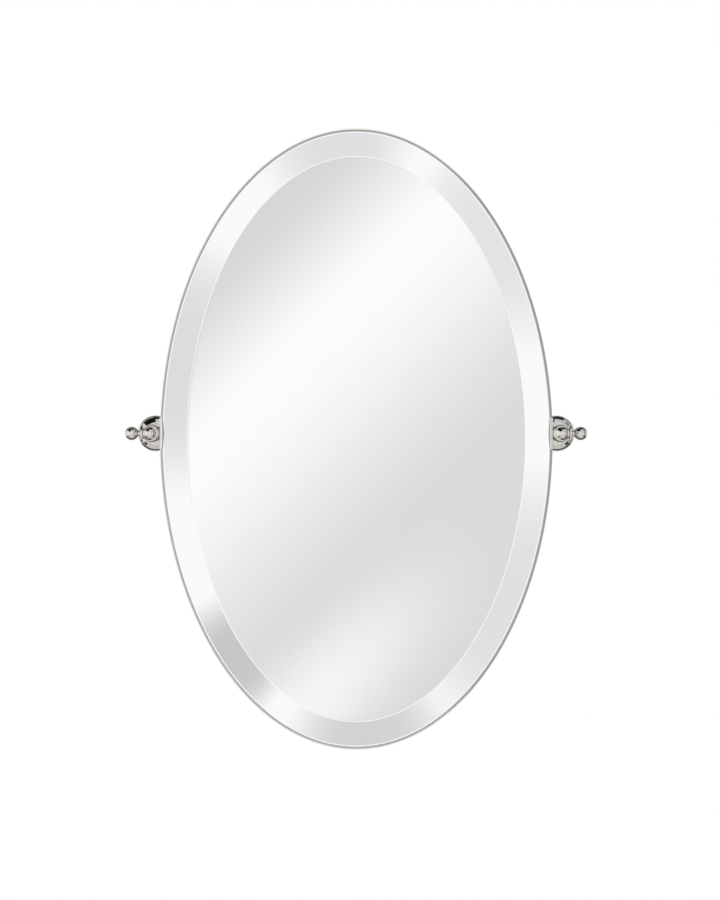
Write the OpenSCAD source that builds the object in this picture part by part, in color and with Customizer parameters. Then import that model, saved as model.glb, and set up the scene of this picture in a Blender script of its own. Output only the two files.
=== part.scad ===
// Oval pivot wall mirror.
// The wall is the plane y = 0, the mirror faces -Y and +Z is up. The origin lies on the wall, midway
// between the two brackets, at the height of the pivot. Pieces that come in pairs are drawn for the
// right-hand bracket, and mirrored for the left-hand one. All lengths are in millimetres.

/* [Mirror panel] */
// Width over the rim
mirror_width = 482.6; // [300:0.1:700]
// Height over the rim
mirror_height = 762; // [450:0.1:1000]
// How far the pivot lies above the middle of the oval
pivot_rise = 7; // [0:0.5:20]
// Thickness of the glass
glass_thickness = 5; // [4:0.5:8]
// Width of the bevel, from the glass edge to the ridge
bevel_width = 32; // [10:0.5:60]
// Thickness left at the edge of the glass
bevel_edge = 2; // [1:0.1:3]
// Thickness of the film on the silvering
film_thickness = 0.4; // [0.2:0.1:1]
// Thickness of the foam tape
tape_thickness = 1; // [0.5:0.1:3]
// Width of one strip of foam tape
tape_width = 24; // [10:1:40]
// Distance from one strip of tape to the next
tape_pitch = 80; // [50:1:100]
// Thickness of the backing board
board_thickness = 6; // [4:0.5:12]

/* [Rim frame] */
// Thickness of the band round the edge
rim_wall = 1.4; // [1:0.1:3]
// Width of the rim seen from the front
rim_face = 3.1; // [3:0.1:8]
// Thickness of the front lip
rim_lip = 1.2; // [0.8:0.1:2]
// Number of tabs folded over the board
tab_count = 6; // [4:2:10]
// Width of a tab
tab_width = 14; // [12:0.5:24]
// Length of a tab over the board
tab_length = 13; // [11:0.5:20]
// Thickness of a tab
tab_thickness = 1.2; // [0.8:0.1:2]

/* [Edge clips] */
// Height of a clip
clip_height = 38; // [30:0.5:60]
// Thickness of a clip's leg and web
clip_wall = 1.6; // [1.6:0.1:3]
// Thickness of a clip's front lip
clip_lip = 1.5; // [1:0.1:3]
// How far the lip reaches in over the glass, from the rim's outline
clip_reach = 5.2; // [4.1:0.1:8]
// Length of the leg behind the board
clip_leg = 30; // [24:0.5:60]
// Thickness of the rubber liner
pad_thickness = 0.3; // [0.2:0.1:0.6]
// Distance between the two screws of a clip
clip_screw_spacing = 22; // [16:0.5:28]

/* [Wall brackets] */
// Distance from the wall to the pivot
pivot_depth = 48; // [46:0.5:90]
// Diameter of the flange
flange_diameter = 45; // [44:0.5:60]
// Height of the flange's straight edge
flange_edge = 5.5; // [5.5:0.1:7]
// Height of the whole flange
flange_height = 12.5; // [12:0.1:16]
// Wall of the flange
flange_wall = 2; // [1.5:0.1:2.5]
// Diameter of the mounting plate
plate_diameter = 34; // [34:0.5:38]
// Thickness of the mounting plate
plate_thickness = 3.5; // [3.2:0.1:4]
// Distance between the two wall screw holes of a plate
wall_hole_spacing = 23; // [21:0.5:24]
// Diameter of the wall screw holes
wall_hole = 4.4; // [4:0.1:5]
// Diameter of the post's foot
foot_diameter = 20; // [17:0.5:22]
// Diameter of the post's waist, behind the hub
waist_diameter = 11.6; // [10:0.1:14]
// Diameter of the ball-shaped hub
hub_diameter = 23; // [22:0.5:26]
// Diameter of the finial's collar
collar_diameter = 19.4; // [16:0.1:24]
// Thickness of the finial's collar
collar_thickness = 2.4; // [1.5:0.1:4]
// Diameter of the front ball
finial_diameter = 17.6; // [14:0.1:22]

/* [Pivots and knobs] */
// Diameter of the stud that the mirror turns on
stud_diameter = 6; // [5:0.1:7]
// Diameter of the stud's threaded end
thread_diameter = 4; // [3.5:0.1:4.5]
// Thickness of the friction washer
friction_washer_thickness = 0.8; // [0.5:0.1:1.5]
// Thickness of the spring washer
spring_washer_thickness = 1; // [0.5:0.1:1.5]
// Diameter of the clamp disc
disc_diameter = 22; // [18:0.5:26]
// Straight edge of the clamp disc
disc_edge = 1.6; // [1:0.1:3]
// Whole thickness of the clamp disc
disc_thickness = 4; // [3.5:0.1:6]
// Diameter of the knob's ball
knob_diameter = 17; // [14:0.1:22]
// Diameter of the knob's neck
neck_diameter = 6.4; // [6.2:0.1:9]
// Length of the neck that shows between the disc and the ball
neck_length = 1.3; // [1:0.1:6]

/* [Clearances] */
// Side clearance round the glass and the board
glass_clearance = 0.3; // [0.2:0.05:1]
// Clearance between faces that turn on each other
running_gap = 0.1; // [0.05:0.05:0.3]
// Radial clearance of shafts and screws in their bores
bore_clearance = 0.05; // [0.02:0.01:0.1]

/* [Hidden] */

$fn = 64;
oval_steps = 144;       // straight stretches in one turn of an oval
cut = 1;                // how far a cutting solid runs past the face that it cuts

nickel = "#cfcac4";
steel = "#a9abad";
rubber = "#3a3a3c";

// Depths, counted from the wall towards the room.
lip_gap = 0.1;                          // between the rim's lip and the bevel under it
panel_depth = board_thickness + tape_thickness + film_thickness;
bevel_drop = glass_thickness - bevel_edge;
rim_inner_face = rim_face - rim_wall - glass_clearance; // how far the lip overlaps the glass
lip_back = bevel_edge + bevel_drop * rim_inner_face / bevel_width + lip_gap;
rim_depth = panel_depth + lip_back + rim_lip;
board_back = pivot_depth - rim_depth / 2;
board_front = board_back + board_thickness;
tape_front = board_front + tape_thickness;
glass_back = tape_front + film_thickness;
rim_front = board_back + rim_depth;

// Half sizes of the ovals.
rim_a = mirror_width / 2;
rim_b = mirror_height / 2;
glass_inset = rim_wall + glass_clearance;   // from the rim's outline to the edge of the glass

// Widths, counted outwards from the glass along the pivot axis.
liner_gap = 0.05;                       // between the liner and what it lies on
clip_in = rim_a - glass_inset + liner_gap + pad_thickness + liner_gap;
clip_out = clip_in + clip_wall;
friction_in = clip_out + running_gap;
hub_in = friction_in + friction_washer_thickness + running_gap;
hub_flat_in = 8.5;                      // from the hub's centre to its inner flat
hub_flat_out = 9.6;                     // from the hub's centre to its outer flat
post_x = hub_in + hub_flat_in;
hub_out = post_x + hub_flat_out;
spring_in = hub_out + running_gap;
disc_in = spring_in + spring_washer_thickness + running_gap;
disc_out = disc_in + disc_thickness;
neck_in = disc_out + running_gap;
hub_radius = hub_diameter / 2;
knob_radius = knob_diameter / 2;
neck_radius = neck_diameter / 2;
knob_x = neck_in + neck_length + knob_radius;

// Points of an oval that runs a fixed distance inside an ellipse.
function oval_point(a, b, inset, t) =
    let (across = b * cos(t), up = a * sin(t), q = norm([across, up]))
    [a * cos(t) - inset * across / q, b * sin(t) - inset * up / q];
function oval(a, b, inset) =
    [for (i = [0:oval_steps - 1]) oval_point(a, b, inset, 360 * i / oval_steps)];

// Points of a quarter of an ellipse, from its side at [x + rx, y] to its top at [x, y + ry].
quarter_steps = 12;
function quarter(x, y, rx, ry) =
    [for (i = [0:quarter_steps]) let (t = 90 * i / quarter_steps) [x + rx * cos(t), y + ry * sin(t)]];

// ---- placing ----

// Stands a drawing that rises along +Z out from the wall, at a distance from it.
module from_wall(depth = 0) translate([0, -depth, 0]) rotate([90, 0, 0]) children();

// The same, centred on the oval.
module on_panel(depth) translate([0, 0, -pivot_rise]) from_wall(depth) children();

// The same, on the axis of the right-hand post.
module on_post(depth = 0) translate([post_x, 0, 0]) from_wall(depth) children();

// Lays a drawing that rises along +Z along the pivot axis, outwards from x.
module on_pivot(x) translate([x, -pivot_depth, 0]) rotate([0, 90, 0]) children();

module left() mirror([1, 0, 0]) children();

// A disc with a bore, rising from the ground.
module washer(diameter, bore, thickness) {
    difference() {
        cylinder(d = diameter, h = thickness);
        translate([0, 0, -cut]) cylinder(d = bore, h = thickness + 2 * cut);
    }
}

module rounded_plate(width, height, radius, thickness) {
    linear_extrude(thickness) {
        square([width - 2 * radius, height], center = true);
        square([width, height - 2 * radius], center = true);
        for (x = [-1, 1], y = [-1, 1])
            translate([x * (width / 2 - radius), y * (height / 2 - radius)]) circle(radius);
    }
}

// A pan-head screw: the shank points down from the ground, and the head stands on it.
module pan_screw(head, head_height, shank, shank_length) {
    drive_width = head / 2;
    drive_slot = head / 8;
    difference() {
        intersection() {
            cylinder(d = head, h = head_height);
            translate([0, 0, head_height - head]) sphere(r = head);
        }
        for (turn = [0, 90]) rotate(turn)
            translate([-drive_width / 2, -drive_slot / 2, head_height / 2])
                cube([drive_width, drive_slot, head_height]);
    }
    translate([0, 0, -shank_length]) cylinder(d = shank, h = shank_length);
}

// ---- mirror panel ----

module mirror_glass() {
    edge = oval(rim_a, rim_b, glass_inset);
    ridge = oval(rim_a, rim_b, glass_inset + bevel_width);
    n = oval_steps;
    points = [
        for (p = edge) [p.x, p.y, 0],
        for (p = edge) [p.x, p.y, bevel_edge],
        for (p = ridge) [p.x, p.y, glass_thickness],
    ];
    faces = [
        [for (i = [0:n - 1]) i],
        for (ring = [0, 1], i = [0:n - 1]) let (j = (i + 1) % n, k = ring * n)
            [k + i, k + n + i, k + n + j, k + j],
        [for (i = [n - 1:-1:0]) 2 * n + i],
    ];
    color("#dfe4ea") on_panel(glass_back) polyhedron(points, faces, convexity = 2);
}

module safety_film() {
    color("#8f9aa3") on_panel(tape_front)
        linear_extrude(film_thickness) polygon(oval(rim_a, rim_b, glass_inset));
}

tape_end = 40;          // from the end of a strip to the edge of the board
module foam_tape() {
    inner_a = rim_a - glass_inset;
    inner_b = rim_b - glass_inset;
    pairs = floor((inner_a - tape_end - tape_width / 2) / tape_pitch);
    color("#e8e6df") on_panel(board_front)
        for (i = [-pairs:pairs]) {
            reach = sqrt(1 - pow((abs(i) * tape_pitch + tape_width / 2) / inner_a, 2));
            strip = 2 * (inner_b * reach - tape_end);
            translate([i * tape_pitch - tape_width / 2, -strip / 2, 0])
                cube([tape_width, strip, tape_thickness]);
        }
}

screw_shank = 3;        // diameter of the screws that hold the rim and the clips
screw_head = 6;
screw_head_height = 2;
board_left_over = 1;    // board in front of the bottom of a screw's hole
bore_end = 0.5;         // from the tip of a screw or stud to the bottom of its bore

// Carries its children to each tab, with +X pointing out over the rim.
module at_tabs() {
    for (i = [0:tab_count - 1]) {
        t = 360 * (i + 0.5) / tab_count;
        translate(oval_point(rim_a, rim_b, 0, t))
            rotate(atan2(rim_a * sin(t), rim_b * cos(t))) children();
    }
}

screw_from_edge = 7;    // from the edge of the glass, or the end of a leg, to a screw
tab_screw_in = glass_inset + screw_from_edge;
clip_screw_x = clip_out - clip_leg + screw_from_edge;

// Carries its children to the screws of the right-hand clip.
module at_clip_screws() {
    for (side = [-1, 1])
        translate([clip_screw_x, 0, side * clip_screw_spacing / 2]) children();
}

module backing_board() {
    hole = screw_shank + 2 * bore_clearance;
    depth = board_thickness - board_left_over + cut;
    color("#2e2d2c") difference() {
        on_panel(board_back)
            linear_extrude(board_thickness) polygon(oval(rim_a, rim_b, glass_inset));
        on_panel(board_back - cut) at_tabs()
            translate([-tab_screw_in, 0, 0]) cylinder(d = hole, h = depth);
        for (side = [0, 1]) mirror([side, 0, 0])
            at_clip_screws() from_wall(board_back - cut) cylinder(d = hole, h = depth);
    }
}

rim_end_gap = 0.2;      // between the end of a half of the rim and the clip

// Two half ovals, whose ends meet the clips.
module rim_frame() {
    gap = clip_height + 2 * rim_end_gap;
    color(nickel) difference() {
        union() {
            on_panel(board_back) linear_extrude(rim_depth) difference() {
                polygon(oval(rim_a, rim_b, 0));
                polygon(oval(rim_a, rim_b, rim_wall));
            }
            on_panel(rim_front - rim_lip) linear_extrude(rim_lip) difference() {
                polygon(oval(rim_a, rim_b, 0));
                polygon(oval(rim_a, rim_b, rim_face));
            }
            on_panel(board_back - tab_thickness) linear_extrude(tab_thickness) intersection() {
                polygon(oval(rim_a, rim_b, 0));
                at_tabs() translate([-tab_length, -tab_width / 2]) square([2 * tab_length, tab_width]);
            }
        }
        on_panel(board_back - tab_thickness - cut) at_tabs() translate([-tab_screw_in, 0, 0])
            cylinder(d = screw_shank + 2 * bore_clearance, h = tab_thickness + 2 * cut);
        translate([-rim_a - cut, -rim_front - cut, -gap / 2])
            cube([2 * (rim_a + cut), rim_depth + 2 * cut, gap]);
    }
}

module rim_screws() {
    color(steel) on_panel(board_back - tab_thickness) at_tabs() translate([-tab_screw_in, 0, 0])
        rotate([180, 0, 0]) pan_screw(screw_head, screw_head_height, screw_shank,
            tab_thickness + board_thickness - board_left_over - bore_end);
}

bumper_diameter = 12;
bumper_height = 3;
bumper_x = 60;          // from the middle to a bumper
bumper_in = 14;         // from the edge of the board to a bumper's rim

module wall_bumpers() {
    reach = sqrt(1 - pow((bumper_x + bumper_diameter / 2) / (rim_a - glass_inset), 2));
    rise = (rim_b - glass_inset) * reach - bumper_in - bumper_diameter / 2;
    color(rubber) on_panel(board_back) for (x = [-1, 1], z = [-1, 1])
        translate([x * bumper_x, z * rise, 0]) rotate([180, 0, 0]) intersection() {
            cylinder(d = bumper_diameter, h = bumper_height);
            translate([0, 0, bumper_height - bumper_diameter]) sphere(r = bumper_diameter);
        }
}

// ---- edge clips, on the panel ----

bevel_under_lip = bevel_drop * (clip_reach - glass_inset) / bevel_width;
clip_front = glass_back + bevel_edge + bevel_under_lip + liner_gap + pad_thickness + liner_gap;
clip_corner = 5;
lip_bow = 1.2;          // how far the lip's edge bows in over the glass, beyond its corners

module edge_clip() {
    reach_x = rim_a - clip_reach;
    bow_radius = (pow(clip_height / 2, 2) + pow(lip_bow, 2)) / (2 * lip_bow);
    color(nickel) difference() {
        union() {
            // front lip, bowed along its inner edge
            from_wall(clip_front) linear_extrude(clip_lip) intersection() {
                translate([reach_x, -clip_height / 2]) square([clip_out - reach_x, clip_height]);
                translate([reach_x + bow_radius, 0]) circle(bow_radius, $fn = 200);
            }
            // web beside the glass and the board
            translate([clip_in, -clip_front - clip_lip, -clip_height / 2])
                cube([clip_wall, clip_front + clip_lip - board_back + clip_wall, clip_height]);
            // leg behind the board
            from_wall(board_back - clip_wall) translate([clip_out - clip_leg / 2, 0, 0])
                rounded_plate(clip_leg, clip_height, clip_corner, clip_wall);
            from_wall(board_back - clip_wall)
                translate([clip_out - clip_corner - clip_wall, -clip_height / 2, 0])
                    cube([clip_corner + clip_wall, clip_height, clip_wall]);
        }
        at_clip_screws() from_wall(board_back - clip_wall - cut)
            cylinder(d = screw_shank + 2 * bore_clearance, h = clip_wall + 2 * cut);
        on_pivot(clip_in - cut)
            cylinder(d = stud_diameter + 2 * bore_clearance, h = clip_wall + 2 * cut);
        on_pivot(clip_in - bore_clearance) cylinder(
            d1 = stud_head + 2 * bore_clearance, d2 = stud_diameter + 2 * bore_clearance,
            h = stud_head_height + bore_clearance);
    }
}

pad_margin = 1;         // how far the clip stands past the ends of its liner

module clip_pad() {
    pad_height = clip_height - 2 * pad_margin;
    pad_in = rim_a - glass_inset + liner_gap;
    lip_in = rim_a - clip_reach + lip_bow;
    color(rubber) {
        translate([pad_in, -clip_front + liner_gap, -pad_height / 2])
            cube([pad_thickness, clip_front - liner_gap - board_back - liner_gap, pad_height]);
        translate([lip_in, -clip_front + liner_gap, -pad_height / 2])
            cube([pad_in + pad_thickness - lip_in, pad_thickness, pad_height]);
    }
}

module clip_screws() {
    color(steel) at_clip_screws() from_wall(board_back - clip_wall) rotate([180, 0, 0])
        pan_screw(screw_head, screw_head_height, screw_shank,
            clip_wall + board_thickness - board_left_over - bore_end);
}

stud_head = 9;
stud_head_height = 1.5;
shank_short = 0.5;      // how far the bearing part of the stud ends inside the hub
thread_end = 1;         // from the stud's tip to the bottom of the knob's bore
thread_in_ball = 1.5;   // how far the stud reaches past the centre of the ball

module pivot_stud() {
    shank_end = hub_out - shank_short;
    tip = knob_x + thread_in_ball;
    color(steel) {
        on_pivot(clip_in) cylinder(d1 = stud_head, d2 = stud_diameter, h = stud_head_height);
        on_pivot(clip_in) cylinder(d = stud_diameter, h = shank_end - clip_in);
        on_pivot(clip_in) cylinder(d = thread_diameter, h = tip - clip_in);
    }
}

friction_washer_diameter = 12;
module friction_washer() {
    color("#dddbd4") on_pivot(friction_in) washer(
        friction_washer_diameter, stud_diameter + 2 * bore_clearance, friction_washer_thickness);
}

// ---- wall brackets ----

plate_head = 8.4;       // mouth of the countersink for a wall screw
plate_sink = 2;         // depth of the countersink
module mounting_plate() {
    color(steel) on_post() difference() {
        cylinder(d = plate_diameter, h = plate_thickness);
        for (side = [-1, 1]) translate([0, side * wall_hole_spacing / 2, 0]) {
            translate([0, 0, -cut]) cylinder(d = wall_hole, h = plate_thickness + 2 * cut);
            translate([0, 0, plate_thickness - plate_sink])
                cylinder(d1 = wall_hole, d2 = plate_head, h = plate_sink);
            translate([0, 0, plate_thickness]) cylinder(d = plate_head, h = cut);
        }
    }
}

grub_diameter = 4;
flange_step = 2.1;      // width of the ledge between the flange's edge and its dome
flange_shelf = 1.3;     // thickness of that ledge
flange_top = 7;         // radius of the flat middle of the dome
flange_round = 1.2;     // rounding of the flange's edge
post_screw_diameter = 5;

module wall_flange() {
    outer = flange_diameter / 2;
    dome = outer - flange_step;
    shelf = flange_edge - flange_shelf;
    ceiling = flange_height - flange_wall;
    screw_hole = post_screw_diameter / 2 + 5 * bore_clearance;
    inner_dome = quarter(flange_top, shelf, dome - flange_wall - flange_top, ceiling - shelf);
    outline = [
        [outer, 0],
        each quarter(outer - flange_round, flange_edge - flange_round, flange_round, flange_round),
        each quarter(flange_top, flange_edge, dome - flange_top, flange_height - flange_edge),
        [screw_hole, flange_height],
        [screw_hole, ceiling],
        each [for (i = [quarter_steps:-1:0]) inner_dome[i]],
        [outer - flange_wall, shelf],
        [outer - flange_wall, 0],
    ];
    color(nickel) difference() {
        on_post() rotate_extrude() polygon(outline);
        translate([post_x, 0, 0]) at_grub() translate([0, 0, -cut])
            cylinder(d = grub_diameter + 2 * bore_clearance, h = outer - plate_diameter / 2 + cut);
    }
}

// Carries its children to the outer end of the grub screw, with +Z pointing up to the plate.
module at_grub() translate([0, -flange_edge / 2, -flange_diameter / 2]) children();

module grub_screw() {
    recess = 0.4;           // below the flange's surface
    reach = flange_diameter / 2 - plate_diameter / 2 - running_gap;
    socket = 2.2;
    socket_depth = 2;
    color(steel) translate([post_x, 0, 0]) at_grub() difference() {
        translate([0, 0, recess]) cylinder(d = grub_diameter, h = reach - recess);
        translate([0, 0, recess - cut]) cylinder(d = socket, h = socket_depth + cut, $fn = 6);
    }
}

foot_height = 2.4;
foot_ledge = 0.8;       // how far the foot stands out round the post above it
waist_length = 4;       // straight stretch between the post's curve and the hub
finial_neck = 1.1;      // from the front of the hub to the collar
cross_bore = stud_diameter / 2 + bore_clearance;
front_face = pivot_depth + hub_radius + finial_neck;   // where the collar is seated
front_neck = 6.2;       // radius of the neck in front of the hub
post_screw_length = 12; // how deep the screw goes into the post
finial_thread = 5;
finial_stud = 7;        // how deep the finial's stud goes into the post

module post() {
    foot = foot_diameter / 2;
    waist = waist_diameter / 2;
    waist_at = pivot_depth - sqrt(pow(hub_radius, 2) - pow(waist, 2));
    cove_from = flange_height + foot_height;
    cove_height = waist_at - waist_length - cove_from;
    cove_in = foot - foot_ledge - waist;
    cove_radius = (pow(cove_height, 2) + pow(cove_in, 2)) / (2 * cove_in);
    color(nickel) difference() {
        union() {
            on_post(flange_height) rotate_extrude() {
                square([foot - foot_height / 2, foot_height]);
                translate([foot - foot_height / 2, foot_height / 2]) circle(foot_height / 2);
            }
            on_post(cove_from) rotate_extrude() difference() {
                square([foot - foot_ledge, cove_height]);
                translate([waist + cove_radius, cove_height]) circle(cove_radius, $fn = 200);
            }
            on_post(cove_from) cylinder(r = waist, h = pivot_depth - cove_from);
            on_post(pivot_depth) sphere(r = hub_radius, $fn = 96);
            on_post(pivot_depth) cylinder(r = front_neck, h = front_face - pivot_depth);
        }
        // flats for the clip's washer and for the clamp
        translate([hub_in - hub_radius, -pivot_depth - hub_radius, -hub_radius])
            cube([hub_radius, 2 * hub_radius, 2 * hub_radius]);
        translate([hub_out, -pivot_depth - hub_radius, -hub_radius])
            cube([hub_radius, 2 * hub_radius, 2 * hub_radius]);
        on_pivot(hub_in - cut) cylinder(r = cross_bore, h = hub_out - hub_in + 2 * cut);
        on_post(flange_height - cut) cylinder(
            d = post_screw_diameter + 2 * bore_clearance, h = post_screw_length + bore_end + cut);
        on_post(front_face - finial_stud - bore_end)
            cylinder(d = finial_thread + 2 * bore_clearance, h = finial_stud + bore_end + cut);
    }
}

post_screw_head = 9.5;
post_screw_head_height = 3.2;
module post_screw() {
    color(steel) on_post(flange_height - flange_wall) rotate([180, 0, 0])
        pan_screw(post_screw_head, post_screw_head_height, post_screw_diameter,
            flange_wall + post_screw_length);
}

module finial_collar() {
    radius = collar_diameter / 2;
    round_edge = collar_thickness / 2;
    color(nickel) on_post(front_face) difference() {
        rotate_extrude() {
            square([radius - round_edge, collar_thickness]);
            translate([radius - round_edge, round_edge]) circle(round_edge);
        }
        translate([0, 0, -cut])
            cylinder(d = finial_thread + 2 * bore_clearance, h = collar_thickness + 2 * cut);
    }
}

finial_seat = 4.6;      // radius of the flat on which the front ball sits
module finial_ball() {
    radius = finial_diameter / 2;
    seat = front_face + collar_thickness;
    rise = sqrt(pow(radius, 2) - pow(finial_seat, 2));
    color(nickel) {
        difference() {
            on_post(seat + rise) sphere(r = radius, $fn = 96);
            on_post(seat - radius) cylinder(r = radius, h = radius);
        }
        on_post(seat - collar_thickness - finial_stud)
            cylinder(d = finial_thread, h = collar_thickness + finial_stud + radius);
    }
}

// ---- clamps, at the outer ends of the pivot axis ----

spring_washer_diameter = 12;
thread_bore = thread_diameter + 2 * bore_clearance;
module spring_washer() {
    color(steel) on_pivot(spring_in)
        washer(spring_washer_diameter, thread_bore, spring_washer_thickness);
}

disc_nose = 4;          // radius of the flat on which the knob's neck bears
module clamp_disc() {
    outline = [
        [thread_bore / 2, 0],
        [disc_diameter / 2, 0],
        each quarter(disc_nose, disc_edge, disc_diameter / 2 - disc_nose, disc_thickness - disc_edge),
        [thread_bore / 2, disc_thickness],
    ];
    color(nickel) on_pivot(disc_in) rotate_extrude() polygon(outline);
}

module knob() {
    color(nickel) difference() {
        union() {
            on_pivot(neck_in) cylinder(r = neck_radius, h = neck_length + knob_radius);
            on_pivot(knob_x) sphere(r = knob_radius, $fn = 96);
        }
        on_pivot(neck_in - cut)
            cylinder(d = thread_bore, h = knob_x + thread_in_ball + thread_end - neck_in + cut);
    }
}

// ---- left and right ----

module left_edge_clip() left() edge_clip();
module left_clip_pad() left() clip_pad();
module left_clip_screws() left() clip_screws();
module left_pivot_stud() left() pivot_stud();
module left_friction_washer() left() friction_washer();
module left_mounting_plate() left() mounting_plate();
module left_wall_flange() left() wall_flange();
module left_grub_screw() left() grub_screw();
module left_post() left() post();
module left_post_screw() left() post_screw();
module left_finial_collar() left() finial_collar();
module left_finial_ball() left() finial_ball();
module left_spring_washer() left() spring_washer();
module left_clamp_disc() left() clamp_disc();
module left_knob() left() knob();

module right_edge_clip() edge_clip();
module right_clip_pad() clip_pad();
module right_clip_screws() clip_screws();
module right_pivot_stud() pivot_stud();
module right_friction_washer() friction_washer();
module right_mounting_plate() mounting_plate();
module right_wall_flange() wall_flange();
module right_grub_screw() grub_screw();
module right_post() post();
module right_post_screw() post_screw();
module right_finial_collar() finial_collar();
module right_finial_ball() finial_ball();
module right_spring_washer() spring_washer();
module right_clamp_disc() clamp_disc();
module right_knob() knob();

mirror_glass();
safety_film();
foam_tape();
backing_board();
rim_frame();
rim_screws();
wall_bumpers();
left_edge_clip();
left_clip_pad();
left_clip_screws();
left_pivot_stud();
left_friction_washer();
left_mounting_plate();
left_wall_flange();
left_grub_screw();
left_post();
left_post_screw();
left_finial_collar();
left_finial_ball();
left_spring_washer();
left_clamp_disc();
left_knob();
right_edge_clip();
right_clip_pad();
right_clip_screws();
right_pivot_stud();
right_friction_washer();
right_mounting_plate();
right_wall_flange();
right_grub_screw();
right_post();
right_post_screw();
right_finial_collar();
right_finial_ball();
right_spring_washer();
right_clamp_disc();
right_knob();
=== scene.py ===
from math import cos, hypot, pi, radians, sin, sqrt, tan

import bmesh
import bpy
from mathutils import Matrix, Vector


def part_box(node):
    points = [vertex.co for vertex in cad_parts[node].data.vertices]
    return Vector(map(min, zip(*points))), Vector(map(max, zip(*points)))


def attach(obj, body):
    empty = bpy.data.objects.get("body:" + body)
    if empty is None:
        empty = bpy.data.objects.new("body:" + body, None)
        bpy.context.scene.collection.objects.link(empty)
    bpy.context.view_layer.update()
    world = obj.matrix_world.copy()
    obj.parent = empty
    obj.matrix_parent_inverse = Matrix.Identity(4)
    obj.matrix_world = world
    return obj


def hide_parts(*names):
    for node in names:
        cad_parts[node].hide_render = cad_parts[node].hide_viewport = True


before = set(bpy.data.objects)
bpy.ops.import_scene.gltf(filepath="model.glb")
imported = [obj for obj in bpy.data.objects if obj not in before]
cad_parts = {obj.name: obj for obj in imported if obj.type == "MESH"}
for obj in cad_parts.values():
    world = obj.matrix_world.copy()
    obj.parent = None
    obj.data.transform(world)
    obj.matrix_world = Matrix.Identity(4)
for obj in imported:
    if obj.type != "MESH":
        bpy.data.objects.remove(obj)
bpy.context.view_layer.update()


# ---- Mirror glass ----
# An oval of float glass, silvered behind and bevelled all round its front. Grinding and polishing
# leave a soft arris along the ridge of the bevel, and a finer one just inside the rim's lip.

mm = 0.001
grain = 0.001 * mm              # points closer than this are one point
rim_low, rim_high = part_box("rim_frame")
glass_low, glass_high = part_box("mirror_glass")
oval_middle = (rim_low.z + rim_high.z) / 2
oval_half_width = rim_high.x
oval_half_height = rim_high.z - oval_middle
oval_steps = 720
glass_inset = rim_high.x - glass_high.x
glass_back, glass_front = -glass_high.y, -glass_low.y
bevel_width = 32.8 * mm
bevel_slope = 3 / 32            # it falls 3 mm in 32
ridge_softness = 1.3 * mm
edge_arris_width = 1.6 * mm
edge_arris_slope = tan(radians(8.6))
lip_width = 3.3 * mm            # of the rim, from its outline to where the glass shows
crisp_edge, soft_edge, round_edge = 0.1 * mm, 0.2 * mm, 0.3 * mm    # reach of their rounding
flat_margin = 5 * mm            # the flats begin this far inside their edges
silvered_side = 0.9             # faces that look forward by more than this show the silver


def oval_point(inset, depth, turn):
    """A point in front of the wall by depth, and inside the rim's outline by inset."""
    across, up = oval_half_height * cos(turn), oval_half_width * sin(turn)
    reach = hypot(across, up)
    return (oval_half_width * cos(turn) - inset * across / reach, -depth,
            oval_middle + oval_half_height * sin(turn) - inset * up / reach)


def soften(corners, steps=6):
    """Rounds an outline's corners. Each is (across, along, reach), and is rounded from reach
    before it to reach after it. A corner without reach stays as it is."""
    outline = []
    for i, (across, along, reach) in enumerate(corners):
        corner = Vector((across, along))
        if not reach:
            outline.append(corner)
            continue
        start = corner + (Vector(corners[i - 1][:2]) - corner).normalized() * reach
        end = corner + (Vector(corners[(i + 1) % len(corners)][:2]) - corner).normalized() * reach
        for k in range(steps + 1):
            part = k / steps
            outline.append((1 - part) ** 2 * start + 2 * part * (1 - part) * corner + part ** 2 * end)
    return outline


def skin(mesh, rings, closed=False):
    """Joins rings of points into a solid. Unless the last ring joins the first, both are capped.
    A ring that is drawn in to a point needs no cap."""
    rings = [[mesh.verts.new(point) for point in ring] for ring in rings]
    pairs = list(zip(rings, rings[1:]))
    ends = (rings[0], rings[-1])
    if closed:
        pairs.append((rings[-1], rings[0]))
        ends = ()
    for ring, following in pairs:
        for i in range(len(ring)):
            mesh.faces.new((ring[i - 1], ring[i], following[i], following[i - 1]))
    for ring in ends:
        if (ring[0].co - ring[1].co).length > grain:
            mesh.faces.new(ring)
    bmesh.ops.remove_doubles(mesh, verts=[corner for ring in rings for corner in ring], dist=grain)
    bmesh.ops.recalc_face_normals(mesh, faces=mesh.faces)


def round_the_oval(section):
    """Rings of points round the oval, one for each (inset, depth) of a section."""
    turns = [2 * pi * i / oval_steps for i in range(oval_steps)]
    return [[oval_point(inset, depth, turn) for turn in turns] for inset, depth in section]


def make_piece(name, mesh, *materials, crease=25):
    """A finished piece from its mesh, smooth except across edges of more than crease degrees.
    Its flats stay flat up to their rounded edges."""
    shape = bpy.data.meshes.new(name)
    mesh.to_mesh(shape)
    mesh.free()
    shape.shade_smooth()
    shape.set_sharp_from_angle(angle=radians(crease))
    for material in materials:
        shape.materials.append(material)
    piece = bpy.data.objects.new(name, shape)
    bpy.context.scene.collection.objects.link(piece)
    piece.modifiers.new("flats", "WEIGHTED_NORMAL").keep_sharp = True
    return piece


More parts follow.
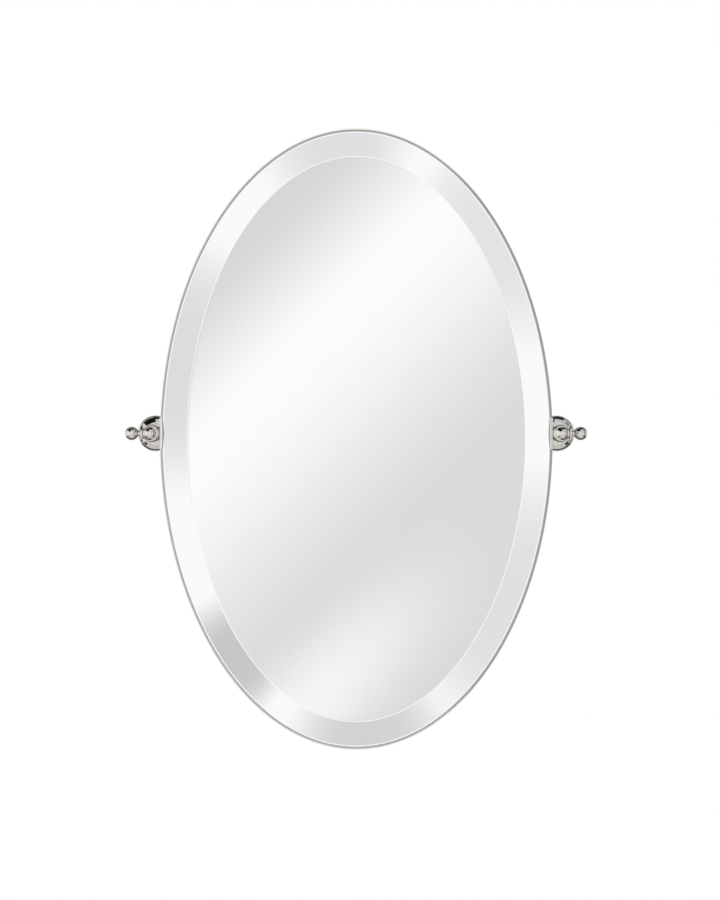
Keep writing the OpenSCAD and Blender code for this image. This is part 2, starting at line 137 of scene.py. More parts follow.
class Socket:
    """An output in a tree of shader nodes. Sums with it are written as sums, and become nodes."""

    def __init__(self, tree, output=None):
        self.tree, self.output = tree, output

    def node(self, kind, settings={}, sockets={}):
        """Adds a node: first its settings, then the values or links of its sockets."""
        made = self.tree.nodes.new("ShaderNode" + kind)
        for name, value in settings.items():
            setattr(made, name, value)
        for name, value in sockets.items():
            entry = next(s for s in made.inputs if s.enabled and name in (s.name, s.identifier))
            if isinstance(value, Socket):
                self.tree.links.new(value.output, entry)
            else:
                entry.default_value = value
        return Socket(self.tree, next((s for s in made.outputs if s.enabled), None))

    def other(self, name):
        """Another output of the same node."""
        return Socket(self.tree, self.output.node.outputs[name])

    def into(self, shader, name):
        """Links this to a socket of a shader."""
        self.tree.links.new(self.output, shader.inputs[name])

    def math(self, operation, first, second):
        return self.node("Math", {"operation": operation}, {"Value": first, "Value_001": second})

    def __add__(self, value):
        return self.math("ADD", self, value)

    def __radd__(self, value):
        return self.math("ADD", value, self)

    def __sub__(self, value):
        return self.math("SUBTRACT", self, value)

    def __rsub__(self, value):
        return self.math("SUBTRACT", value, self)

    def __mul__(self, value):
        return self.math("MULTIPLY", self, value)

    def __rmul__(self, value):
        return self.math("MULTIPLY", value, self)

    def __truediv__(self, value):
        return self.math("DIVIDE", self, value)

    def __rtruediv__(self, value):
        return self.math("DIVIDE", value, self)

    def __pow__(self, value):
        return self.math("POWER", self, value)

    def __rpow__(self, value):
        return self.math("POWER", value, self)

    def fade(self, start, end):
        """Rises smoothly from 0, where this is start, to 1, where it is end."""
        return self.node("MapRange", {"interpolation_type": "SMOOTHSTEP"},
                         {"Value": self, "From Min": start, "From Max": end})

    def blend(self, first, second):
        """The first colour where this is 0, and the second where it is 1."""
        return self.node("Mix", {"data_type": "RGBA"}, {"Factor": self, "A": first, "B": second})

    def noise(self, scale, detail=2, stretch=(1, 1, 1)):
        """Noise over the piece, with this many lumps to the metre, drawn out by stretch."""
        place = self.node("TexCoord").other("Object")
        place = self.node("VectorMath", {"operation": "MULTIPLY"},
                          {"Vector": place, "Vector_001": stretch})
        return self.node("TexNoise", {}, {"Vector": place, "Scale": scale, "Detail": detail})

    def bump(self, strength, height):
        """A normal from this as a height, in metres."""
        return self.node("Bump", {}, {"Height": self, "Strength": strength, "Distance": height})


def new_finish(name, metallic=0, roughness=0.5):
    """A material, its shader and its nodes. What is the same all over is set on the shader."""
    material = bpy.data.materials.new(name)
    material.use_nodes = True
    shader = material.node_tree.nodes["Principled BSDF"]
    shader.inputs["Metallic"].default_value = metallic
    shader.inputs["Roughness"].default_value = roughness
    return material, shader, Socket(material.node_tree)


# The silver is a shade cooler in some places than in others, and wiping leaves a faint haze.
silvered_glass, shader, nodes = new_finish("silvered_glass", metallic=1)
cool_silver, plain_silver = (0.925, 0.936, 0.951, 1), (0.935, 0.944, 0.957, 1)
nodes.noise(3).blend(cool_silver, plain_silver).into(shader, "Base Color")
(0.002 + 0.012 * nodes.noise(18, 4, (1, 1, 4)) ** 3).into(shader, "Roughness")

# The paint that protects the silver covers the back, and runs over onto the ground edge.
backing_paint, shader, nodes = new_finish("backing_paint", roughness=0.6)
dark_paint, light_paint = (0.20, 0.21, 0.22, 1), (0.26, 0.27, 0.28, 1)
nodes.noise(60, 4).blend(dark_paint, light_paint).into(shader, "Base Color")
nodes.noise(900).bump(0.2, 0.05 * mm).into(shader, "Normal")


def bevel_depth(inset):
    """How far the bevel lies in front of the wall."""
    return glass_front - bevel_slope * (glass_inset + bevel_width - inset)


arris_inset = lip_width + edge_arris_width
arris_depth = bevel_depth(arris_inset) - edge_arris_width * edge_arris_slope
edge_depth = arris_depth - bevel_slope * (lip_width - glass_inset)
glass_section = soften([
    (glass_inset + flat_margin, glass_back, 0),
    (glass_inset, glass_back, round_edge),
    (glass_inset, edge_depth, round_edge),
    (lip_width, arris_depth, crisp_edge),
    (arris_inset, bevel_depth(arris_inset), crisp_edge),
    (glass_inset + bevel_width, glass_front, ridge_softness),
    (glass_inset + bevel_width + flat_margin, glass_front, 0),
])
mesh = bmesh.new()
skin(mesh, round_the_oval(glass_section))
for face in mesh.faces:
    face.material_index = 0 if -face.normal.y > silvered_side else 1
mirror_glass = make_piece("bevelled_mirror", mesh, silvered_glass, backing_paint)
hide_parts("mirror_glass")
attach(mirror_glass, "mirror")


# ---- Safety film and foam tape ----
# The film is bonded over the silvering, and holds the pieces if the glass breaks. Five strips of
# white foam tape stick it to the board. Both are hidden once the rim is on.


def dress(material, *names):
    """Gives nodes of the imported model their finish."""
    for name in names:
        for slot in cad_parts[name].material_slots:
            slot.material = material


# The film is slate grey, and slightly uneven in shade and gloss.
safety_film, shader, nodes = new_finish("safety_film", roughness=0.3)
dark_film, light_film = (0.26, 0.31, 0.35, 1), (0.30, 0.35, 0.39, 1)
nodes.noise(40, 3).blend(dark_film, light_film).into(shader, "Base Color")
(0.25 + 0.15 * nodes.noise(300, 3)).into(shader, "Roughness")
dress(safety_film, "safety_film")

# Its open cells make the foam rough, and the darker patches in its colour are painted shade for their
# hollows.
foam, shader, nodes = new_finish("foam", roughness=0.9)
foam_painted_shade, foam_white = (0.82, 0.81, 0.78, 1), (0.90, 0.89, 0.86, 1)
nodes.noise(400, 3).blend(foam_painted_shade, foam_white).into(shader, "Base Color")
nodes.noise(2500, 3).bump(0.5, 0.1 * mm).into(shader, "Normal")
dress(foam, "foam_tape")


# ---- Backing board ----
# An oval of fibreboard, cut to the size of the glass, that stiffens it and takes all the screws.
# It is painted black on its back and edges, against the damp of a bathroom.

# The board's fibres lie both ways, and show through the paint.
black_board, shader, nodes = new_finish("black_board")
fibres = nodes.noise(500, 6, (1, 1, 0.25)) + nodes.noise(700, 6, (0.25, 1, 1))
deep_black, worn_black = (0.022, 0.021, 0.021, 1), (0.050, 0.048, 0.047, 1)
(fibres / 2).blend(deep_black, worn_black).into(shader, "Base Color")
(0.45 + 0.25 * nodes.noise(90, 3)).into(shader, "Roughness")
fibres.bump(0.35, 0.08 * mm).into(shader, "Normal")
dress(black_board, "backing_board")


# ---- Rim frame ----
# Two half ovals of brass strip, polished and nickel plated, whose ends meet the clips. Their front
# edge is turned in over the glass as a sloping lip, and six tabs are folded in over the board.

# The plating is bright and slightly warm, and polishing leaves fine lines in it.
polished_nickel, shader, nodes = new_finish("polished_nickel", metallic=1)
bright_nickel, warm_nickel = (0.80, 0.775, 0.74, 1), (0.765, 0.735, 0.695, 1)
nodes.noise(120, 3).blend(bright_nickel, warm_nickel).into(shader, "Base Color")
(0.035 + 0.06 * nodes.noise(700, 4, (1, 1, 0.2)) ** 2).into(shader, "Roughness")
nodes.noise(1500, 2).bump(0.02, 0.01 * mm).into(shader, "Normal")

rim_wall = 1.4 * mm
rim_back = -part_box("backing_board")[1].y
lip_set_back = 0.4 * mm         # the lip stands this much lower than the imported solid's
lip_thickness = 0.8 * mm
lip_slope = tan(radians(12.3))
lip_shoulder = 1.2 * mm         # the width, at its outer edge, where the lip falls a little faster
shoulder_slope = tan(radians(15.9))
lip_corner, outer_corner = 0.12 * mm, 0.15 * mm
rim_front = -rim_low.y - lip_set_back
lip_under = rim_front - lip_thickness
shoulder_depth = rim_front - lip_slope * (lip_width - lip_shoulder)
rim_section = soften([
    (rim_wall, rim_back, soft_edge),
    (rim_wall, lip_under, round_edge),
    (lip_width, lip_under, crisp_edge),
    (lip_width, rim_front, lip_corner),
    (lip_shoulder, shoulder_depth, crisp_edge),
    (0, shoulder_depth - shoulder_slope * lip_shoulder, outer_corner),
    (0, rim_back, soft_edge),
])
mesh = bmesh.new()
skin(mesh, round_the_oval(rim_section), closed=True)

tab_count = 6
tab_half_width = 7 * mm
tab_length = 13 * mm
tab_thickness = 1.2 * mm
tab_corner = 3 * mm
tab_bend = 1 * mm
tab_root = 2 * mm               # how far the tab runs up into the band
tab_clear = 0.02 * mm           # between the faces of tab and band
tab_slices = 25
screw_hole = 1.55 * mm          # radius
tab_screw_inset = 8.7 * mm
drill_past = 1 * mm             # how far a drill goes past the metal


def corner_cut(place, half_width, corner):
    """How far a rounded end falls back, at a place across its width."""
    beyond = max(0, abs(place) - half_width + corner)
    return corner - sqrt(max(0, corner ** 2 - beyond ** 2))


def combine(mesh, other, operation):
    """Unites two solids, or takes the other out of the first. Only the first is left."""
    solids = []
    for part in (mesh, other):
        shape = bpy.data.meshes.new("solid")
        part.to_mesh(shape)
        solids.append(bpy.data.objects.new("solid", shape))
        bpy.context.scene.collection.objects.link(solids[-1])
    join = solids[0].modifiers.new("join", "BOOLEAN")
    join.operation, join.solver, join.object = operation, "MANIFOLD", solids[1]
    joined = solids[0].evaluated_get(bpy.context.evaluated_depsgraph_get())
    mesh.clear()
    mesh.from_mesh(joined.to_mesh())
    other.free()
    for solid in solids:
        bpy.data.meshes.remove(solid.data)


turn_steps = 160                # points round a turned piece


def turned(outline, place, closed=False):
    """A turned solid, from an outline of (radius, height) points. Place carries +Z to its axis."""
    solid = bmesh.new()
    turns = [2 * pi * i / turn_steps for i in range(turn_steps)]
    skin(solid, [[place @ Vector((radius * cos(turn), radius * sin(turn), height)) for turn in turns]
                 for radius, height in outline], closed)
    return solid


def rod(radius, start, end, place):
    """A plain turned rod, such as a drill."""
    return turned([(0, start), (radius, start), (radius, end), (0, end)], place)


def out_from_wall(x, depth, z):
    """Stands a turned solid out from the wall."""
    return Matrix.Translation((x, -depth, z)) @ Matrix.Rotation(pi / 2, 4, "X")


for i in range(tab_count):
    middle = 2 * pi * (i + 0.5) / tab_count
    travel = hypot(oval_half_width * sin(middle), oval_half_height * cos(middle))
    slices = []
    for k in range(tab_slices):
        place = tab_half_width * sin(pi * (k / (tab_slices - 1) - 0.5))
        end = tab_length - corner_cut(place, tab_half_width, tab_corner)
        fold = soften([
            (tab_clear, rim_back + tab_root, 0),
            (tab_clear, rim_back - tab_thickness, tab_bend),
            (end, rim_back - tab_thickness, soft_edge),
            (end, rim_back, soft_edge),
            (rim_wall, rim_back, 0),
            (rim_wall, rim_back + tab_root, 0),
        ])
        slices.append([oval_point(inset, depth, middle + place / travel) for inset, depth in fold])
    tab = bmesh.new()
    skin(tab, slices)
    x, y, z = oval_point(tab_screw_inset, rim_back, middle)
    start = out_from_wall(x, -y - 2 * drill_past, z)
    combine(tab, rod(screw_hole, -2 * drill_past, 4 * drill_past, start), "DIFFERENCE")
    combine(mesh, tab, "UNION")

rim_gap = 38.4 * mm             # between the ends of the two halves
gap_space = bmesh.new()
bmesh.ops.create_cube(gap_space, size=1, matrix=Matrix.Diagonal((1, 1, rim_gap, 1)))
combine(mesh, gap_space, "DIFFERENCE")
rim_frame = make_piece("rim_band", mesh, polished_nickel)
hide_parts("rim_frame")
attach(rim_frame, "mirror")


# ---- Screws and bumpers on the back ----
# Six zinc-plated pan-head screws hold the rim's tabs to the board. Four black rubber bumpers are
# stuck on near the top and the bottom, against knocks on the wall.

# Zinc sets in spangles, each with its own shade and gloss.
zinc_steel, shader, nodes = new_finish("zinc_steel", metallic=1)
spangle = nodes.noise(350, 4)
grey_zinc, pale_zinc = (0.56, 0.57, 0.59, 1), (0.68, 0.68, 0.66, 1)
spangle.blend(grey_zinc, pale_zinc).into(shader, "Base Color")
(0.25 + 0.25 * nodes.noise(800, 3)).into(shader, "Roughness")
spangle.bump(0.1, 0.02 * mm).into(shader, "Normal")
dress(zinc_steel, "rim_screws")

# Dust makes the rubber paler and duller in patches.
rubber, shader, nodes = new_finish("rubber")
dust = nodes.noise(500, 4)
clean_rubber, dusty_rubber = (0.030, 0.030, 0.031, 1), (0.075, 0.074, 0.073, 1)
dust.blend(clean_rubber, dusty_rubber).into(shader, "Base Color")
(0.6 + 0.25 * dust).into(shader, "Roughness")
nodes.noise(3000, 2).bump(0.3, 0.05 * mm).into(shader, "Normal")
dress(rubber, "wall_bumpers")


# ---- Edge clips, with their liners and screws ----
# Each is bent from plated brass strip. Its bowed lip reaches over the glass between the rim's ends,
# its web carries the pivot stud, and its leg is screwed to the board. The black rubber liner between
# clip and glass shows as a line along the lip.

clip_slices = 61
clip_bow = 0.8 * mm             # how far the lip's edge bows in over the glass
clip_wall = 1.6 * mm
clip_lip = 1.5 * mm             # thickness of the lip
clip_reach = 4.1 * mm           # of the lip, from the rim's outline
lip_rounding = 1.1 * mm
clip_leg = 30 * mm
clip_corner = 5 * mm
clip_bend = 0.9 * mm
clip_hole_from_end = 7 * mm
clip_screw_spacing = 22 * mm
stud_hole = 3.05 * mm           # radius
pivot_depth = 48 * mm           # of the pivot's axis, from the wall
liner = 0.3 * mm                # thickness
liner_proud = 0.55 * mm         # how far it shows past the middle of the lip
liner_fold = 0.05 * mm


def along_pivot(side, x, depth):
    """Lays a turned solid along the pivot axis, pointing away from the mirror."""
    return Matrix.Translation((side * x, -depth, 0)) @ Matrix.Rotation(side * pi / 2, 4, "Y")


def bent_strip(side, half_height, outline):
    """A strip bent across its width, from what its outline is at each height."""
    heights = [half_height * sin(pi * (k / (clip_slices - 1) - 0.5)) for k in range(clip_slices)]
    strip = bmesh.new()
    skin(strip, [[(side * x, -depth, z) for x, depth in soften(outline(z))] for z in heights])
    return strip


for side, hand in ((-1, "left"), (1, "right")):
    low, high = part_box(f"{hand}_edge_clip")
    clip_out = max(abs(low.x), abs(high.x))
    clip_back, clip_front, half = -high.y, -low.y, high.z
    bow_radius = (half ** 2 + clip_bow ** 2) / (2 * clip_bow)

    def lip_edge(z):
        """How far from the middle of the mirror the bowed lip ends."""
        return oval_half_width - clip_reach + bow_radius - sqrt(bow_radius ** 2 - z ** 2)

    def leg_edge(z):
        """How far from the middle of the mirror the leg ends."""
        return clip_out - clip_leg + corner_cut(z, half, clip_corner)

    mesh = bent_strip(side, half, lambda z: [
        (lip_edge(z), clip_front - clip_lip, soft_edge),
        (lip_edge(z), clip_front, lip_rounding),
        (clip_out, clip_front, clip_bend),
        (clip_out, clip_back, clip_bend),
        (leg_edge(z), clip_back, soft_edge),
        (leg_edge(z), clip_back + clip_wall, soft_edge),
        (clip_out - clip_wall, clip_back + clip_wall, round_edge),
        (clip_out - clip_wall, clip_front - clip_lip, soft_edge),
    ])
    for z in (-clip_screw_spacing / 2, clip_screw_spacing / 2):
        x = clip_out - clip_leg + clip_hole_from_end
        start = out_from_wall(side * x, clip_back, z)
        combine(mesh, rod(screw_hole, -drill_past, clip_wall + drill_past, start), "DIFFERENCE")
    start = along_pivot(side, clip_out - clip_wall, pivot_depth)
    combine(mesh, rod(stud_hole, -drill_past, clip_wall + drill_past, start), "DIFFERENCE")
    clip = make_piece(f"{hand}_clip", mesh, polished_nickel)
    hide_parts(f"{hand}_edge_clip")
    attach(clip, "mirror")

    low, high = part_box(f"{hand}_clip_pad")
    pad_out = max(abs(low.x), abs(high.x))
    pad_back, pad_front = -high.y, -low.y

    def liner_edge(z):
        """It stands proud of the lip in the middle, and is flush with it at the ends."""
        return lip_edge(z) - liner_proud * (1 - (z / half) ** 2)

    mesh = bent_strip(side, high.z, lambda z: [
        (liner_edge(z), pad_front - liner, crisp_edge),
        (liner_edge(z), pad_front, crisp_edge),
        (pad_out, pad_front, crisp_edge),
        (pad_out, pad_back, crisp_edge),
        (pad_out - liner, pad_back, crisp_edge),
        (pad_out - liner, pad_front - liner, liner_fold),
    ])
    pad = make_piece(f"{hand}_liner", mesh, rubber)
    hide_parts(f"{hand}_clip_pad")
    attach(pad, "mirror")
    dress(zinc_steel, f"{hand}_clip_screws")


# ---- Pivot studs and friction washers ----
# A steel stud is riveted into each clip's web, and turns in the hub of the post. The white nylon
# washer between clip and hub gives the drag that keeps the mirror where it is put.

dress(zinc_steel, "left_pivot_stud", "right_pivot_stud")

# Moulded nylon is off-white and faintly mottled.
nylon, shader, nodes = new_finish("nylon")
dull_nylon, clear_nylon = (0.70, 0.69, 0.65, 1), (0.76, 0.75, 0.72, 1)
nodes.noise(400, 3).blend(dull_nylon, clear_nylon).into(shader, "Base Color")
(0.35 + 0.15 * nodes.noise(900, 3)).into(shader, "Roughness")
nodes.noise(2500, 2).bump(0.2, 0.02 * mm).into(shader, "Normal")
dress(nylon, "left_friction_washer", "right_friction_washer")


# ---- Mounting plates, post screws and grub screws ----
# Zinc-plated steel plates take two wall screws each. A post screw joins each post to its flange
# from inside, and a grub screw under the flange locks it on the plate.

for hand in ("left", "right"):
    dress(zinc_steel, f"{hand}_mounting_plate", f"{hand}_post_screw", f"{hand}_grub_screw")


# ---- Wall flanges ----
# Domed covers, spun from brass and plated. The dome rises from a small ledge inside the rounded
# edge, to a flat on which the post stands.

flange_edge = 5.5 * mm
flange_edge_rounding = 1.3 * mm
flange_ledge = 1.2 * mm
ledge_fillet = 0.5 * mm         # it takes the place of the first points of the dome
fillet_points = 4
flange_shelf = 1.3 * mm         # thickness under the ledge
flange_wall = 2 * mm
flange_flat = 9.5 * mm          # radius of the flat top
flange_fullness = 1.5           # of the dome, where an ellipse has 2 and a cone has 1
flange_hole = 2.75 * mm         # radius, and so is the next
grub_hole = 2.05 * mm
grub_depth = 5 * mm


def quarter(x, y, across, along, fullness=2, steps=32):
    """A quarter of an oval, from its side to its top, as corners without rounding."""
    turns = [pi / 2 * k / steps for k in range(steps)]
    return [(x + across * cos(turn) ** (2 / fullness), y + along * sin(turn) ** (2 / fullness), 0)
            for turn in turns] + [(x, y + along, 0)]


for side, hand in ((-1, "left"), (1, "right")):
    low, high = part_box(f"{hand}_wall_flange")
    post_out = abs(low.x + high.x) / 2      # from the middle of the mirror to the post's axis
    flange_radius, flange_height = (high.z - low.z) / 2, -low.y
    dome = flange_radius - flange_ledge
    shelf, ceiling = flange_edge - flange_shelf, flange_height - flange_wall
    outside = quarter(flange_flat, flange_edge, dome - flange_flat,
                      flange_height - flange_edge, flange_fullness)
    inside = quarter(flange_flat, shelf, dome - flange_wall - flange_flat,
                     ceiling - shelf, flange_fullness)
    outline = soften([
        (flange_radius, 0, round_edge),
        (flange_radius, flange_edge, flange_edge_rounding),
        (dome + ledge_fillet, flange_edge, ledge_fillet),
        *outside[fillet_points:],
        (flange_hole, flange_height, 0),
        (flange_hole, ceiling, 0),
        *reversed(inside),
        (flange_radius - flange_wall, shelf, round_edge),
        (flange_radius - flange_wall, 0, round_edge),
    ])
    mesh = turned(outline, out_from_wall(side * post_out, 0, 0), closed=True)
    start = Matrix.Translation((side * post_out, -flange_edge / 2, -flange_radius))
    combine(mesh, rod(grub_hole, -drill_past, grub_depth, start), "DIFFERENCE")
    flange = make_piece(f"{hand}_flange", mesh, polished_nickel)
    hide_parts(f"{hand}_wall_flange")
    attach(flange, "wall_brackets")


# ---- Posts ----
# Turned from brass bar and plated: a round-edged foot, a long hollow curve down to the waist, and
# a ball-shaped hub with two flats, bored across for the pivot stud.

foot_radius = 10 * mm
foot_height = 2.4 * mm
foot_rounding = 1.1 * mm
foot_ledge = 0.8 * mm
waist_radius = 5.8 * mm
cove_height = 19.17 * mm
cove_steps = 32
into_hub = 6 * mm               # shaft and neck end this far from its middle
hub_radius = 11.5 * mm
hub_flat_in, hub_flat_out = -8.5 * mm, 9.6 * mm
hub_corner = 0.15 * mm
hub_steps = 48
hub_bore = 3.05 * mm            # radius
neck_radius = 6.2 * mm


def arc(radius, start, end, steps, middle=0):
    """Points on a ball's outline between two heights, as corners without rounding."""
    heights = [start + (end - start) * (1 - cos(pi * k / steps)) / 2 for k in range(steps + 1)]
    return [(sqrt(max(0, radius ** 2 - height ** 2)), middle + height, 0) for height in heights]


for side, hand in ((-1, "left"), (1, "right")):
    axis = out_from_wall(side * post_out, 0, 0)
    low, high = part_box(f"{hand}_post")
    post_back, post_front = -high.y, -low.y
    cove_in = foot_radius - foot_ledge - waist_radius
    cove_radius = (cove_height ** 2 + cove_in ** 2) / (2 * cove_in)
    cove_from = post_back + foot_height
    cove = []
    for k in range(cove_steps + 1):
        height = cove_height * k / cove_steps
        fall = sqrt(cove_radius ** 2 - (cove_height - height) ** 2)
        cove.append((waist_radius + cove_radius - fall, cove_from + height, 0))
    outline = soften([
        (0, post_back, 0),
        (foot_radius, post_back, foot_rounding),
        (foot_radius, cove_from, foot_rounding),
        *cove,
        (waist_radius, pivot_depth - into_hub, 0),
        (0, pivot_depth - into_hub, 0),
    ])
    mesh = turned(outline, axis)
    hub = soften([
        (hub_bore, hub_flat_in, 0),
        (sqrt(hub_radius ** 2 - hub_flat_in ** 2), hub_flat_in, hub_corner),
        *arc(hub_radius, hub_flat_in, hub_flat_out, hub_steps)[1:-1],
        (sqrt(hub_radius ** 2 - hub_flat_out ** 2), hub_flat_out, hub_corner),
        (hub_bore, hub_flat_out, 0),
    ])
    combine(mesh, turned(hub, along_pivot(side, post_out, pivot_depth), closed=True), "UNION")
    combine(mesh, rod(neck_radius, pivot_depth + into_hub, post_front, axis), "UNION")
    post = make_piece(f"{hand}_turned_post", mesh, polished_nickel)
    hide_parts(f"{hand}_post")
    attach(post, "wall_brackets")


# ---- Finials ----
# A thin round-edged collar, and a ball on a threaded stud that screws through it into the front
# of the post.

collar_rounding = 1.15 * mm
thread_hole = 2.55 * mm         # radius
thread_radius = 2.5 * mm
thread_end = 0.4 * mm
ball_radius = 8.8 * mm
ball_seat = 4.6 * mm            # radius of the flat that the ball stands on
ball_steps = 64

for side, hand in ((-1, "left"), (1, "right")):
    axis = out_from_wall(side * post_out, 0, 0)
    low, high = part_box(f"{hand}_finial_collar")
    collar_back, collar_front, collar_radius = -high.y, -low.y, high.z
    outline = soften([
        (thread_hole, collar_back, 0),
        (collar_radius, collar_back, collar_rounding),
        (collar_radius, collar_front, collar_rounding),
        (thread_hole, collar_front, 0),
    ])
    collar = make_piece(f"{hand}_collar", turned(outline, axis, closed=True), polished_nickel)
    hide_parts(f"{hand}_finial_collar")
    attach(collar, "wall_brackets")

    low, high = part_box(f"{hand}_finial_ball")
    ball_middle = -low.y - ball_radius
    stud_end = -high.y
    seat = sqrt(ball_radius ** 2 - ball_seat ** 2)
    outline = soften([
        (0, stud_end, 0),
        (thread_radius, stud_end, thread_end),
        (thread_radius, collar_front, 0),
        *arc(ball_radius, -seat, ball_radius, ball_steps, ball_middle),
    ])
    ball = make_piece(f"{hand}_front_ball", turned(outline, axis), polished_nickel)
    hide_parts(f"{hand}_finial_ball")
    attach(ball, "wall_brackets")


# ---- Clamps and knobs ----
# Outside each hub, a spring washer and a domed disc sit on the stud, and the ball knob screws up
# against them. Tightening it adds drag to the pivot.

disc_edge = 1.6 * mm
disc_nose = 4 * mm              # radius of the flat in the middle of the dome
stud_bore = 2.05 * mm           # radius, and so is the next
knob_neck = 3.2 * mm
knob_bore_past_middle = 2.5 * mm
neck_fillet_points = 2          # the fillet at the neck takes the place of these on the ball

dress(zinc_steel, "left_spring_washer", "right_spring_washer")
for side, hand in ((-1, "left"), (1, "right")):
    low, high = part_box(f"{hand}_clamp_disc")
    disc_in, disc_out = sorted((abs(low.x), abs(high.x)))
    disc_radius, disc_thickness = high.z, disc_out - disc_in
    outline = soften([
        (stud_bore, 0, 0),
        (disc_radius, 0, round_edge),
        *quarter(disc_nose, disc_edge, disc_radius - disc_nose, disc_thickness - disc_edge),
        (stud_bore, disc_thickness, 0),
    ])
    mesh = turned(outline, along_pivot(side, disc_in, pivot_depth), closed=True)
    disc = make_piece(f"{hand}_disc", mesh, polished_nickel)
    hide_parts(f"{hand}_clamp_disc")
    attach(disc, f"{hand}_clamp")

    low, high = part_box(f"{hand}_knob")
    neck_in, knob_out = sorted((abs(low.x), abs(high.x)))
    knob_radius = high.z
    knob_middle = knob_out - knob_radius - neck_in
    bore_end = knob_middle + knob_bore_past_middle
    meets_neck = -sqrt(knob_radius ** 2 - knob_neck ** 2)
    outline = soften([
        (0, bore_end, 0),
        (stud_bore, bore_end, soft_edge),
        (stud_bore, 0, soft_edge),
        (knob_neck, 0, soft_edge),
        (knob_neck, knob_middle + meets_neck, round_edge),
        *arc(knob_radius, meets_neck, knob_radius, ball_steps, knob_middle)[neck_fillet_points:],
    ])
    mesh = turned(outline, along_pivot(side, neck_in, pivot_depth))
    knob = make_piece(f"{hand}_ball_knob", mesh, polished_nickel)
    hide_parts(f"{hand}_knob")
    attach(knob, f"{hand}_knob")


# ---- Studio ----
# A white tent stands round the camera, and the flat glass mirrors its two soft boxes. The bevel
# mirrors six grey flags, and the metal mirrors the boards, boxes and cloths further out.

scene = bpy.context.scene
scene.view_settings.view_transform = "Standard"
scene.world = bpy.data.worlds.new("studio")
scene.world.use_nodes = True
sky = Socket(scene.world.node_tree)
toward = sky.node("TexCoord").other("Generated")
x = sky.node("SeparateXYZ", {}, {"Vector": toward})
y, z = x.other("Y"), x.other("Z")
ahead = 0 - y                   # the cosine of the angle off the camera's axis
aside = (x ** 2 + z ** 2) ** 0.5

base_above, base_below = 0.72, 0.745    # of the tent, above and below the main box
main_box_light = 0.31
main_box_start, main_box_peak, main_box_end = -0.165, -0.074, 0.085
second_box_light = 0.23
second_box_middle, second_box_half_width = 0.119, 0.058
second_box_start, second_box_full = 0.03, -0.17
across, up = x / ahead, z / ahead
slant = across - up
rising = slant.fade(main_box_start, main_box_peak)
falling = slant.fade(main_box_peak, main_box_end)
main_box = main_box_light * rising - (main_box_light + base_above - base_below) * falling
second_offset = sky.node("Math", {"operation": "ABSOLUTE"}, {"Value": slant - second_box_middle})
second_box = (1 - second_offset.fade(0, second_box_half_width)) * (
    1 - (across + up).fade(second_box_full, second_box_start))
tent = base_above + main_box + second_box_light * second_box


def past(degrees, blur=1):
    """Rises from 0 to 1 across an angle off the camera's axis."""
    return 1 - ahead.fade(cos(radians(degrees + blur)), cos(radians(degrees - blur)))


def lay(level, light, mask):
    """Lays a light over what is there, where the mask is 1."""
    return level * (1 - mask) + light * mask


tent_white = 1.01
metal_light = 0.68
grey_hoop_light, grey_hoop_fall = 0.485, 0.08       # it is darker to the right and above
white_hoop_light = 1
wall_light, corner_light = 0.32, 0.42
glass_end, tent_end = 11, 27.5          # degrees off the camera's axis, as are the next
grey_hoop_start, grey_hoop_end, white_hoop_end = 29, 35.5, 42.5
wall_start, corner_start, backdrop_start = 97, 127, 152
level = lay(tent, tent_white, past(glass_end))
level = lay(level, metal_light, past(tent_end))
level = lay(level, grey_hoop_light - grey_hoop_fall * x - grey_hoop_fall * z,
            past(grey_hoop_start) - past(grey_hoop_end))
level = lay(level, white_hoop_light, past(grey_hoop_end) - past(white_hoop_end))
level = lay(level, wall_light, past(wall_start, 3))
level = lay(level, corner_light, past(corner_start, 5))

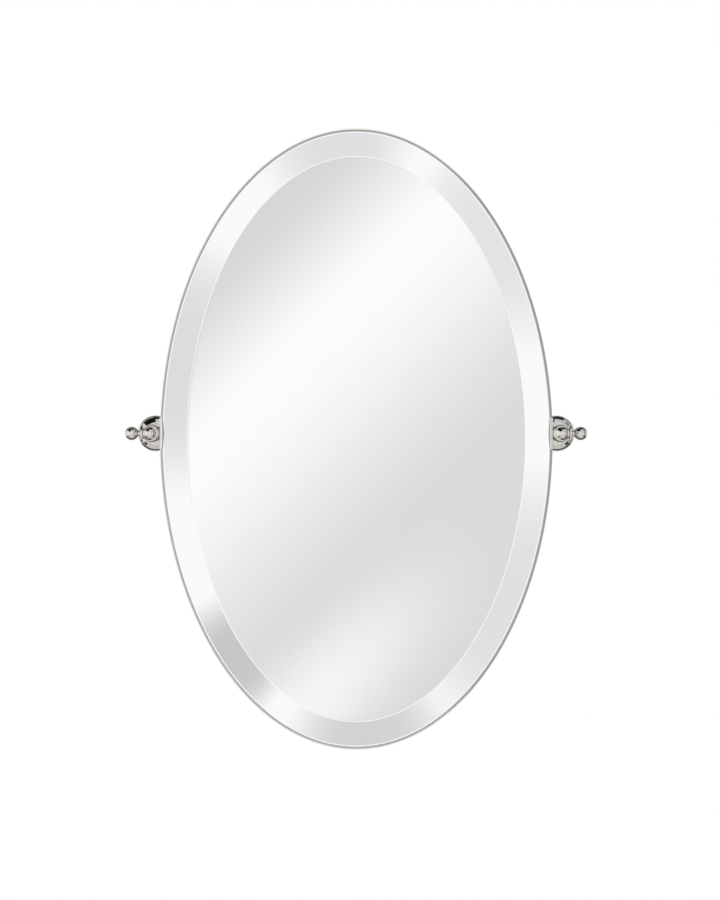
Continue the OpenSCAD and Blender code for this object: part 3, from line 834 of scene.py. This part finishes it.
# Each row has the angle round the camera's axis, anticlockwise from the right, then half the width
# and half the soft edge, then the start and end off the axis, all in degrees, and the light.
for angle, width, edge, near, far, light in (
    # the six grey flags
    (-33, 15, 15, 15, 22, 0.79),
    (-86, 15, 15, 15, 22, 0.685),
    (-134, 7.5, 7.5, 15, 22, 0.60),
    (166, 13.5, 13.5, 15, 22, 0.76),
    (96, 14.5, 14.5, 15, 22, 0.785),
    (40, 13, 13, 15, 22, 0.82),
    # a grey board over the white hoop, on the right
    (0, 50, 8, 35.5, 42.5, 0.46),
    # white boxes on both sides, and a grey board beyond the right one
    (180, 24, 18, 42.5, 96, 1),
    (0, 26, 20, 42.5, 56, 1),
    (0, 48, 6, 59, 84, 0.28),
    # black cloths above, and a narrow one low on each side
    (119, 24, 2, 42.5, 93, 0.01),
    (80, 22, 4, 69, 104, 0.01),
    (222, 6, 2, 60, 80, 0.02),
    (318, 6, 2, 60, 80, 0.02),
    # a dark cloth below
    (-90, 60, 8, 86, 128, 0.10),
    # pale boxes near the wall, on both sides
    (0, 18, 8, 104, 150, 0.9),
    (180, 18, 8, 104, 150, 0.9),
    # dark cloths near the wall, in the four corners
    (45, 14, 5, 104, 128, 0.06),
    (-42, 14, 5, 104, 128, 0.06),
    (135, 14, 5, 104, 128, 0.15),
    (-138, 14, 5, 104, 128, 0.15),
):
    bearing = (x * cos(radians(angle)) + z * sin(radians(angle))) / aside
    wide = bearing.fade(cos(radians(width + edge)), cos(radians(width - edge)))
    level = lay(level, light, wide * (past(near) - past(far)))

# The camera and matt surfaces see plain white, and so does metal that looks back at the wall.
ray = sky.node("LightPath")
plain = ray.math("MAXIMUM", ray.other("Is Camera Ray"), ray.other("Is Transmission Ray"))
plain = ray.math("MAXIMUM", plain, ray.other("Is Diffuse Ray"))
plain = ray.math("MAXIMUM", plain, ray.other("Is Glossy Ray") * past(backdrop_start, 3))
strength = level * (1 - plain) + plain
background = scene.world.node_tree.nodes["Background"]
background.inputs["Color"].default_value = (1, 1, 1, 1)
strength.into(background, "Strength")


# ---- Floor ----
# A plain pale floor, well below the mirror and out of the camera's view. Metal mirrors the studio
# in its place.

floor_drop = 1.3
floor_radius = 2.4
floor_thickness = 0.02
pale_floor, shader, nodes = new_finish("pale_floor", roughness=0.8)
floor_grey, floor_white = (0.88, 0.88, 0.88, 1), (0.92, 0.92, 0.92, 1)
nodes.noise(4, 3).blend(floor_grey, floor_white).into(shader, "Base Color")
mesh = rod(floor_radius, 0, -floor_thickness, Matrix.Translation((0, 0, -floor_drop)))
floor = make_piece("floor", mesh, pale_floor)
floor.visible_glossy = False


# ---- Camera ----
# It stands level with the pivot, straight in front, and its lens is shifted to frame the mirror
# as the photograph does.

camera_distance = 2.3705
photo_height = 900              # pixels, as are the next three
focal_length = 1889
shift_right, shift_down = 3.8, 16.6
sensor = 36                     # millimetres high
camera_lens = bpy.data.cameras.new("camera")
camera_lens.sensor_fit = "VERTICAL"
camera_lens.sensor_height = sensor
camera_lens.lens = sensor * focal_length / photo_height
camera_lens.shift_x = shift_right / photo_height
camera_lens.shift_y = -shift_down / photo_height
camera = bpy.data.objects.new("camera", camera_lens)
camera.location = (0, -camera_distance, 0)
camera.rotation_euler = (pi / 2, 0, 0)
scene.collection.objects.link(camera)
scene.camera = camera
